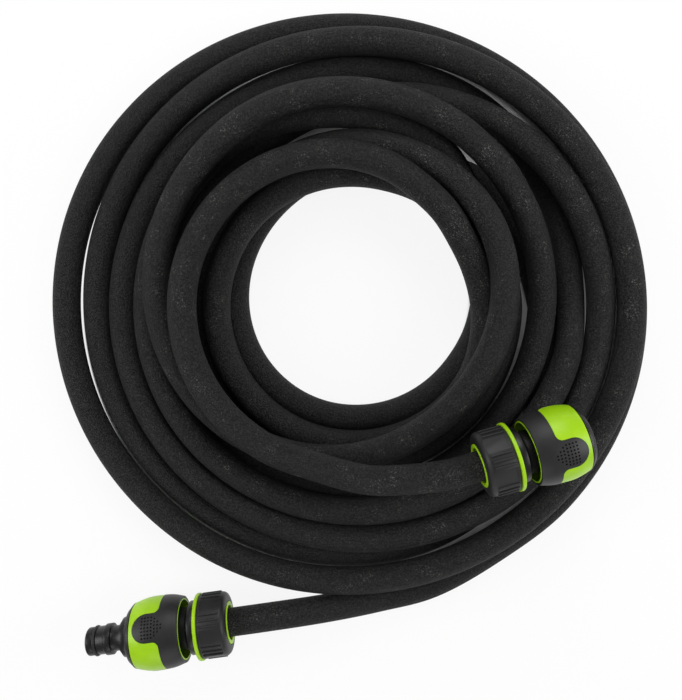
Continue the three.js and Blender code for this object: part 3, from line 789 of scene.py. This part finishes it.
# %% [markdown]
# ## The sleeve's grip
# The grip stands a little proud of the shell, and each tongue has a field of small dimples for the
# thumb. Bump in a material would be lost in the exported mesh, so the dimples are cut. All the
# pins of one tongue are joined and copied to the others, so that a single cut makes every dimple.

# %% Sleeve grip
GRIP_PROUD = 0.12
GRIP_BED = 0.15
GRIP_REAR = SLEEVE_START + 0.15
DIMPLE_PITCH = 1.8
DIMPLE_RADIUS = 0.52
DIMPLE_DEPTH = 0.8
DIMPLE_SIDES = 8
DIMPLE_ROWS = (2, 4, 6, 7, 7, 7, 7)
DIMPLE_START = 8.6


def dimple_pins():
    """Short pins over one tongue's field of dimples, in rows along the axis that grow wider."""
    pins = []
    for row, count in enumerate(DIMPLE_ROWS):
        height = SLEEVE_START + DIMPLE_START + row * DIMPLE_PITCH
        shell = smooth_between(SLEEVE_STATIONS, np.array([height - SLEEVE_START]))[0, 0]
        surface = shell + GRIP_PROUD
        for k in range(count):
            turn = (k - (count - 1) / 2) * DIMPLE_PITCH / surface
            spot = (surface * math.cos(turn), surface * math.sin(turn), height)
            deselect()
            bpy.ops.mesh.primitive_cylinder_add(
                vertices=DIMPLE_SIDES, radius=DIMPLE_RADIUS * MM, depth=2 * DIMPLE_DEPTH * MM,
                location=[x * MM for x in spot], rotation=(0, math.pi / 2, turn),
            )
            bpy.ops.object.transform_apply(location=True, rotation=True, scale=True)
            pins.append(bpy.context.object)
    return joined(pins)


def sleeve_grip_piece(name):
    outer = sleeve_outline(-GRIP_PROUD, GRIP_REAR)
    inner = sleeve_outline(GRIP_THICKNESS - GRIP_BED, GRIP_REAR)
    piece = carved(turned(name, [*outer, *reversed(inner)]), grip_room(0), "INTERSECT")
    rounded(piece, width=0.2)
    return smoothed(carved(piece, arranged(dimple_pins(), TONGUES, BETWEEN_JAWS)))


connector["sleeve_grip"] = sleeve_grip_piece("sleeve_grip")
print("sleeve grip:", len(connector["sleeve_grip"].data.polygons), "faces")

# %% [markdown]
# ## The sleeve's rim
# A separate black rim closes the sleeve's front in three steps. A single cone would catch the
# light evenly, but the photograph shows a line at each step, so every step is in the outline.

# %% Sleeve rim
RIM_START = SLEEVE_FRONT + FIT_GAP
RIM_OUTLINE = [
    (18.13, 0), (17.8, 0.8), (16.95, 1.0), (16.7, 1.9), (15.9, 2.1), (15.5, 3.0), (15.1, 3.4),
    (13.96, 3.4), (13.96, 0),
]


def rim_piece(name):
    piece = turned(name, [(radius, RIM_START + height) for radius, height in RIM_OUTLINE])
    return rounded(piece, width=0.2)


connector["sleeve_rim"] = rim_piece("sleeve_rim")
print("rim:", len(connector["sleeve_rim"].data.polygons), "faces")

# %% [markdown]
# ## The coupler
# The lower connector holds a double male coupler, so that a second hose can follow. Each of its
# ends is a nipple: a tip with a groove for a sealing ring, a ridge that the jaws catch, and a
# waist behind it. The outline of one half is mirrored about the collar's middle.

# %% Coupler
TIP_RADIUS = 7.8
TIP_LENGTH = 11
TIP_BEVEL = 0.7
RIDGE_RADIUS = 8.65
RIDGE_LENGTH = 3.6
RIDGE_SLOPE = 0.5
WAIST_RADIUS = 7
WAIST_LENGTH = 5.5
STEP_RADIUS = 9.2
STEP_LENGTH = 1.4
MIDDLE_RADIUS = 11
MIDDLE_THICKNESS = 3
GROOVE_START = 4
GROOVE_WIDTH = 2.2
GROOVE_DEPTH = 1.3
COUPLER_BORE = 4.6
HALF_COUPLER = TIP_LENGTH + RIDGE_LENGTH + WAIST_LENGTH + STEP_LENGTH + MIDDLE_THICKNESS / 2


def nipple_outline():
    waist_start = TIP_LENGTH + RIDGE_LENGTH
    base = waist_start + WAIST_LENGTH
    return [
        (COUPLER_BORE, 0),
        (TIP_RADIUS - TIP_BEVEL, 0),
        (TIP_RADIUS, TIP_BEVEL),
        (TIP_RADIUS, GROOVE_START),
        (TIP_RADIUS - GROOVE_DEPTH, GROOVE_START),
        (TIP_RADIUS - GROOVE_DEPTH, GROOVE_START + GROOVE_WIDTH),
        (TIP_RADIUS, GROOVE_START + GROOVE_WIDTH),
        (TIP_RADIUS, TIP_LENGTH - RIDGE_SLOPE),
        (RIDGE_RADIUS, TIP_LENGTH),
        (RIDGE_RADIUS, waist_start),
        (WAIST_RADIUS, waist_start),
        (WAIST_RADIUS, base),
        (STEP_RADIUS, base),
        (STEP_RADIUS, base + STEP_LENGTH),
        (MIDDLE_RADIUS, base + STEP_LENGTH),
    ]


def coupler_piece(name):
    near = nipple_outline()
    far = [(radius, 2 * HALF_COUPLER - height) for radius, height in reversed(near)]
    outline = [(radius, height + SEAT) for radius, height in near + far]
    return rounded(turned(name, outline), width=0.25)


coupler = coupler_piece("coupler")
print("coupler:", round(2 * HALF_COUPLER, 1), "mm long")

# %% [markdown]
# ## The coupler's seals
# A rubber ring lies in each groove and stands a little proud of it. A torus could be added in one
# step, but a turned circle keeps the ring in the same place as the groove, by the same sizes.

# %% Seals
SEAL_RADIUS = GROOVE_WIDTH / 2 - 0.15
SEAL_LIFT = 0.1
SEAL_PLACE = GROOVE_START + GROOVE_WIDTH / 2


def seal_piece(name, height):
    centre = (TIP_RADIUS - GROOVE_DEPTH + SEAL_RADIUS + SEAL_LIFT, height)
    piece = turned(name, arc(centre, SEAL_RADIUS, 0, 360, steps=14)[:-1])
    bpy.ops.object.shade_smooth()
    return piece


seals = {
    "coupler_seal_inner": seal_piece("seal_inner", SEAT + SEAL_PLACE),
    "coupler_seal_outer": seal_piece("seal_outer", SEAT + 2 * HALF_COUPLER - SEAL_PLACE),
}
print("seals:", len(seals))

# %% [markdown]
# ## Setting the pieces on the model
# Each piece is moved into place through its mesh, so that its object stays at the origin, and is
# attached to the body it rides on, while the solid it stands for is hidden. A cut can leave a few
# faces of no area.
# An export drops them, and a mesh can share its lists with its copies, so each model is cleared of
# them by validate() while it has no copies. The collets, springs and jaws need no piece of their
# own: their solids are right, and only get a finish.

# %% Placing
INLET_NUT_TURN = -19
BODY_AND_SLOT = {
    "body": ("hose", "black_plastic"),
    "nut": ("{}_nut", "lime_plastic"),
    "nut_grip": ("{}_nut", "soft_grip"),
    "sleeve": ("{}_sleeve", "lime_plastic"),
    "sleeve_grip": ("{}_sleeve", "soft_grip"),
    "sleeve_rim": ("{}_sleeve", "black_plastic"),
}
slot_of = {hose: "hose_rubber"}


def set_in_place(piece, prefix, body, node, slot):
    piece.data.transform(places[prefix])
    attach(piece, body)
    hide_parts(node)
    slot_of[piece] = slot


for model in connector.values():
    model.data.validate()
for prefix in places:
    for part, model in connector.items():
        piece = bpy.data.objects.new(f"{prefix}_{part}_piece", model.data.copy())
        scene.collection.objects.link(piece)
        if prefix == "inlet" and part.startswith("nut"):
            piece.data.transform(about_axis(INLET_NUT_TURN))
        body, slot = BODY_AND_SLOT[part]
        set_in_place(piece, prefix, body.format(prefix), f"{prefix}_{part}", slot)
for model in connector.values():
    bpy.data.objects.remove(model)
coupler.name = "coupler_piece"
set_in_place(coupler, "outlet", "coupler", "coupler_body", "black_plastic")
for node, seal in seals.items():
    seal.name = node + "_piece"
    set_in_place(seal, "outlet", "coupler", node, "seal_rubber")
print("placed", len(slot_of), "pieces")

# %% [markdown]
# ## Writing shader maths
# A material is a small sum over the surface. This class wraps a socket, so that a Python
# expression on it adds its Math nodes, also where the number comes first, as in 1 - mask.


# %% Sums of sockets
class Sum:
    """A value in a finish, with the arithmetic that adds nodes for it."""

    def __init__(self, finish, socket):
        self.finish, self.socket = finish, socket

    def math(self, operation, *values):
        settings = {"operation": operation}
        return self.finish.node("ShaderNodeMath", settings, dict(enumerate(values)))

    def __add__(self, other):
        return self.math("ADD", self, other)

    def __sub__(self, other):
        return self.math("SUBTRACT", self, other)

    def __rsub__(self, other):
        return self.math("SUBTRACT", other, self)

    def __mul__(self, other):
        return self.math("MULTIPLY", self, other)

    __radd__ = __add__
    __rmul__ = __mul__

    def at_most(self, limit):
        return self.math("MINIMUM", self, limit)

    def between(self, low, high):
        """0 below low, 1 above high, and smooth between them."""
        settings = {"interpolation_type": "SMOOTHSTEP"}
        return self.finish.node("ShaderNodeMapRange", settings, {0: self, 1: low, 2: high})


print("sums: ready")

# %% [markdown]
# ## A material under construction
# Every node comes from one method, which takes the node's type, its settings, the values or links
# of its sockets, and which output is wanted. The others are short ways to the nodes that come
# often. Patterns read Object coordinates, which are in metres, so their sizes are real sizes.

# %% Finishes
def srgb(*levels):
    """A colour written as it looks on a screen, from 0 to 255, as the shader's linear one."""
    return (*[((x / 255 + 0.055) / 1.055) ** 2.4 if x > 10 else x / 3295 for x in levels], 1)


class Finish:
    """A material, with its shader and its surface's place in metres."""

    def __init__(self, name):
        self.material = bpy.data.materials.new(name)
        self.material.use_nodes = True
        self.tree = self.material.node_tree
        self.shader = self.tree.nodes["Principled BSDF"]
        self.place = self.node("ShaderNodeTexCoord", output="Object")

    def plug(self, entry, value):
        if isinstance(value, Sum):
            self.tree.links.new(value.socket, entry)
        else:
            entry.default_value = value

    def node(self, kind, settings=None, inputs=None, output=0):
        node = self.tree.nodes.new(kind)
        for key, value in (settings or {}).items():
            setattr(node, key, value)
        for key, value in (inputs or {}).items():
            self.plug(node.inputs[key], value)
        return Sum(self, node.outputs[output])

    def noise(self, size, detail=2, roughness=0.5):
        """Clouds of noise, about a size across in millimetres."""
        return self.node("ShaderNodeTexNoise", inputs={
            "Vector": self.place, "Scale": 1 / (size * MM), "Detail": detail,
            "Roughness": roughness,
        })

    def blend(self, share, first, second):
        """A share of the second colour in the first."""
        entries = {0: share, 6: first, 7: second}
        return self.node("ShaderNodeMix", {"data_type": "RGBA"}, entries, output=2)

    def bumps(self, *layers):
        """A bump for each pair of a height and its depth in millimetres, one on another."""
        below = {}
        for height, depth in layers:
            entries = {"Height": height, "Distance": depth * MM, "Strength": 1.0}
            normal = self.node("ShaderNodeBump", inputs=entries | below)
            below = {"Normal": normal}
        return normal

    def surface(self, inputs):
        """Fills in the shader's sockets and gives the material."""
        for key, value in inputs.items():
            self.plug(self.shader.inputs[key], value)
        return self.material


print("mid grey:", round(srgb(128, 128, 128)[0], 3))

# %% [markdown]
# ## Porous rubber
# The hose is crumbs of old tyres pressed together so that water can weep through the wall. Up
# close it is matte black with a coarse crumb, pits between the crumbs, and many pale specks where
# dust and fibre show. Cells make the crumbs, noise mottles them, and the fibre flecks are painted
# only in patches on the upper loops, where the light falls, so they are partly a painted highlight.
# A dark colour needs little gloss, or a grey veil would hide the difference between crumb and pit.

# %% Rubber
CRUMB_SIZE = 0.95
COARSE_SIZE = 1.4
FINE_SIZE = 0.8
FIBRE_GLINT_SIZE = 0.9
GLINT_PATCH_SIZE = 13
DUST_SIZE = 6
CLOUD_SIZE = 30
# Painted highlight: the pale flecks show only at these heights, on the upper loops where the light
# falls.
LIT_LOOP_HEIGHTS = (0.014, 0.032)
PIT_COLOUR = srgb(7, 7, 7)
CRUMB_COLOUR = srgb(51, 51, 51)
DUST_COLOUR = srgb(112, 111, 108)
FIBRE_GLINT_COLOUR = srgb(150, 149, 144)
DUST_SHARE = 0.16
FIBRE_GLINT_SHARE = 0.38


def porous_rubber():
    finish = Finish("hose_rubber")
    cells = finish.node("ShaderNodeTexVoronoi", {"feature": "F1"}, {
        "Vector": finish.place, "Scale": 1 / (CRUMB_SIZE * MM),
    })
    crumbs = 1 - cells
    coarse = finish.noise(COARSE_SIZE, detail=5, roughness=0.75)
    fine = finish.noise(FINE_SIZE, detail=3, roughness=0.8)
    raised = (crumbs * 0.35 + coarse * 0.6 + fine).between(0.84, 1.20)
    height = finish.node("ShaderNodeSeparateXYZ", inputs={"Vector": finish.place}, output="Z")
    # Painted highlight: the pale flecks lie only in patches on the upper, lit loops.
    glint_patches = finish.noise(GLINT_PATCH_SIZE, detail=4, roughness=0.7).between(0.50, 0.62)
    glint_patches = glint_patches * height.between(*LIT_LOOP_HEIGHTS)
    fibre_glints = finish.noise(FIBRE_GLINT_SIZE, roughness=0.6).between(0.57, 0.67) * glint_patches
    clouds = finish.noise(CLOUD_SIZE, detail=3).between(0.45, 0.65)
    dust = finish.noise(DUST_SIZE, detail=6, roughness=0.85).between(0.60, 0.72) * clouds
    colour = finish.blend(raised, PIT_COLOUR, CRUMB_COLOUR)
    colour = finish.blend(dust * DUST_SHARE, colour, DUST_COLOUR)
    colour = finish.blend(fibre_glints * FIBRE_GLINT_SHARE, colour, FIBRE_GLINT_COLOUR)
    return finish.surface({
        "Base Color": colour,
        "Roughness": 0.62 + raised * 0.12,
        "Normal": finish.bumps((coarse, 0.85), (crumbs, 0.5), (fine, 0.6)),
        "Specular IOR Level": 0.27,
    })


finishes = {"hose_rubber": porous_rubber()}
print("rubber:", len(finishes["hose_rubber"].node_tree.nodes), "nodes")

# %% [markdown]
# ## Moulded plastics
# All the hard pieces are moulded plastic, and so are the grips, of a softer kind. Each has its own
# colour and sheen, a fine texture, and a slight unevenness in its gloss. A wide, faint noise
# stands for the flow of the melt, a fine one for the spark-eroded skin of the mould, and a patchy
# one for where hands have rubbed it. One function makes them all, from a table.

# %% Plastics
FLOW_SIZE = 17
FLOW_DEPTH = 0.05
WEAR_SIZE = 4.5
WEAR_SHARE = 0.10
PLASTICS = {
    "black_plastic": dict(dark=(18, 18, 19), light=(25, 25, 26), roughness=0.32, specular=0.38),
    "lime_plastic": dict(dark=(153, 203, 14), light=(166, 214, 22), roughness=0.33, specular=0.34),
    "soft_grip": dict(
        dark=(27, 27, 28), light=(35, 35, 36), roughness=0.44, specular=0.38,
        skin_size=0.4, skin_depth=0.02,
    ),
    "seal_rubber": dict(dark=(13, 13, 14), light=(20, 20, 21), roughness=0.46),
    "collet_plastic": dict(dark=(214, 214, 206), light=(226, 226, 219), roughness=0.42),
}


def moulded(name, dark, light, roughness, specular=0.5, skin_size=0.25, skin_depth=0.012):
    finish = Finish(name)
    flow = finish.noise(FLOW_SIZE, detail=3)
    skin = finish.noise(skin_size)
    wear = finish.noise(WEAR_SIZE, detail=6, roughness=0.75).between(0.55, 0.75)
    worn = [min(255, x * 1.25 + 14) for x in light]
    colour = finish.blend(flow.between(0.3, 0.7), srgb(*dark), srgb(*light))
    return finish.surface({
        "Base Color": finish.blend(wear * WEAR_SHARE, colour, srgb(*worn)),
        "Roughness": roughness + flow * 0.07 + wear * 0.06,
        "Normal": finish.bumps((flow, FLOW_DEPTH), (skin, skin_depth)),
        "Specular IOR Level": specular,
    })


for slot, look in PLASTICS.items():
    finishes[slot] = moulded(slot, **look)
print("plastics:", len(PLASTICS))

# %% [markdown]
# ## Spring steel
# The springs are drawn wire, which is bright but not a mirror. Its tint varies a little, and a
# fine noise roughens it as the drawing die does.

# %% Spring steel
WIRE_GRAIN = 0.35
TINT_SIZE = 9


def spring_steel():
    finish = Finish("spring_steel")
    drawn = finish.noise(WIRE_GRAIN, detail=4)
    tint = finish.noise(TINT_SIZE)
    return finish.surface({
        "Base Color": finish.blend(tint, srgb(150, 150, 150), srgb(186, 184, 180)),
        "Metallic": 1.0,
        "Roughness": 0.26 + drawn * 0.16,
        "Normal": finish.bumps((drawn, 0.01)),
    })


finishes["spring_steel"] = spring_steel()
print("spring steel:", len(finishes["spring_steel"].node_tree.nodes), "nodes")

# %% [markdown]
# ## Giving the finishes
# Each new piece gets the finish of its slot. Collets, springs and jaws keep their solids from the
# CAD model. Their meshes are left alone, and the new finish goes into their material slots.

# %% Finishes on the pieces
for piece, slot in slot_of.items():
    piece.data.materials.clear()
    piece.data.materials.append(finishes[slot])
print("finishes on", len(slot_of), "pieces")

# %% Finishes on the kept solids
KEPT = {"collet": "collet_plastic", "spring": "spring_steel"}
KEPT.update({f"jaw_{k + 1}": "black_plastic" for k in range(JAWS)})
for prefix in places:
    for part, slot in KEPT.items():
        for place in bpy.data.objects[f"{prefix}_{part}"].material_slots:
            place.material = finishes[slot]
print("kept", len(KEPT) * len(places), "solids")

# %% [markdown]
# ## The floor
# The photograph is a product shot in a tent of white cloth. The floor is plain and pale and takes
# a soft shadow, and to the camera it mostly shines, so that it looks white without more light on
# the hose. Under the loops it doesn't shine, so that a gap between two of them stays dark, as it
# does where light can't reach.

# %% Floor
FLOOR_SIZE = 12
SHINE = 0.88
HOLE_CENTRE = (9.5, 33.5)
HOLE_EDGE = (0.068, 0.073)
COIL_EDGE = (0.1670, 0.1680)
SEEN_BY = ("Is Camera Ray", "Is Glossy Ray", "Is Transmission Ray")


def away_from(finish, middle):
    """How far the surface is from a place on the floor given in millimetres."""
    middle = SHIFT + Vector((*middle, 0)) * MM
    settings = {"operation": "DISTANCE"}
    return finish.node("ShaderNodeVectorMath", settings, {0: finish.place, 1: middle}, "Value")


def white_floor():
    finish = Finish("floor")
    paper = finish.blend(finish.noise(3) * 0.05, srgb(243, 243, 243), srgb(235, 235, 235))
    finish.surface({"Base Color": paper, "Roughness": 0.9})
    past_hole = away_from(finish, HOLE_CENTRE).between(*HOLE_EDGE)
    past_coil = away_from(finish, COIL_CENTRE).between(*COIL_EDGE)
    seen = sum(finish.node("ShaderNodeLightPath", output=ray) for ray in SEEN_BY).at_most(1)
    share = seen * (1 - past_hole * (1 - past_coil)) * SHINE
    lit = Sum(finish, finish.shader.outputs[0])
    shining = finish.node("ShaderNodeEmission", inputs={"Strength": 1.0})
    mixed = finish.node("ShaderNodeMixShader", inputs={0: share, 1: lit, 2: shining})
    finish.plug(finish.tree.nodes["Material Output"].inputs["Surface"], mixed)
    return finish.material


deselect()
bpy.ops.mesh.primitive_plane_add(size=FLOOR_SIZE, location=(0, 0, 0))
floor = bpy.context.object
floor.name = "floor"
floor.data.materials.append(white_floor())
print("floor:", FLOOR_SIZE, "m across")

# %% [markdown]
# ## The light
# Four soft lamps stand for the tent's sides and an even sky for its roof, so the loops are lighter
# on their outer flanks. Together they are plain enough that a colour looks about as it is written.

# %% Light
LAMP_SIZE = 0.5
LAMPS = {
    "left": ((-0.75, 0.05, 0.5), 3.6),
    "right": ((0.75, 0.05, 0.5), 3.9),
    "back": ((0, 0.75, 0.5), 3.1),
    "front": ((0, -0.75, 0.5), 1.4),
}
SKY = 0.27
for side, (spot, power) in LAMPS.items():
    lamp_data = bpy.data.lights.new(side, "AREA")
    lamp_data.size = LAMP_SIZE
    lamp_data.energy = power
    lamp = bpy.data.objects.new(side, lamp_data)
    scene.collection.objects.link(lamp)
    lamp.location = spot
    lamp.rotation_euler = (-lamp.location).to_track_quat("-Z", "Y").to_euler()

scene.world = bpy.data.worlds.new("sky")
scene.world.use_nodes = True
sky = scene.world.node_tree.nodes["Background"]
sky.inputs["Color"].default_value = (1, 1, 1, 1)
sky.inputs["Strength"].default_value = SKY
scene.view_settings.view_transform = "Standard"
print("lamps:", len(LAMPS))
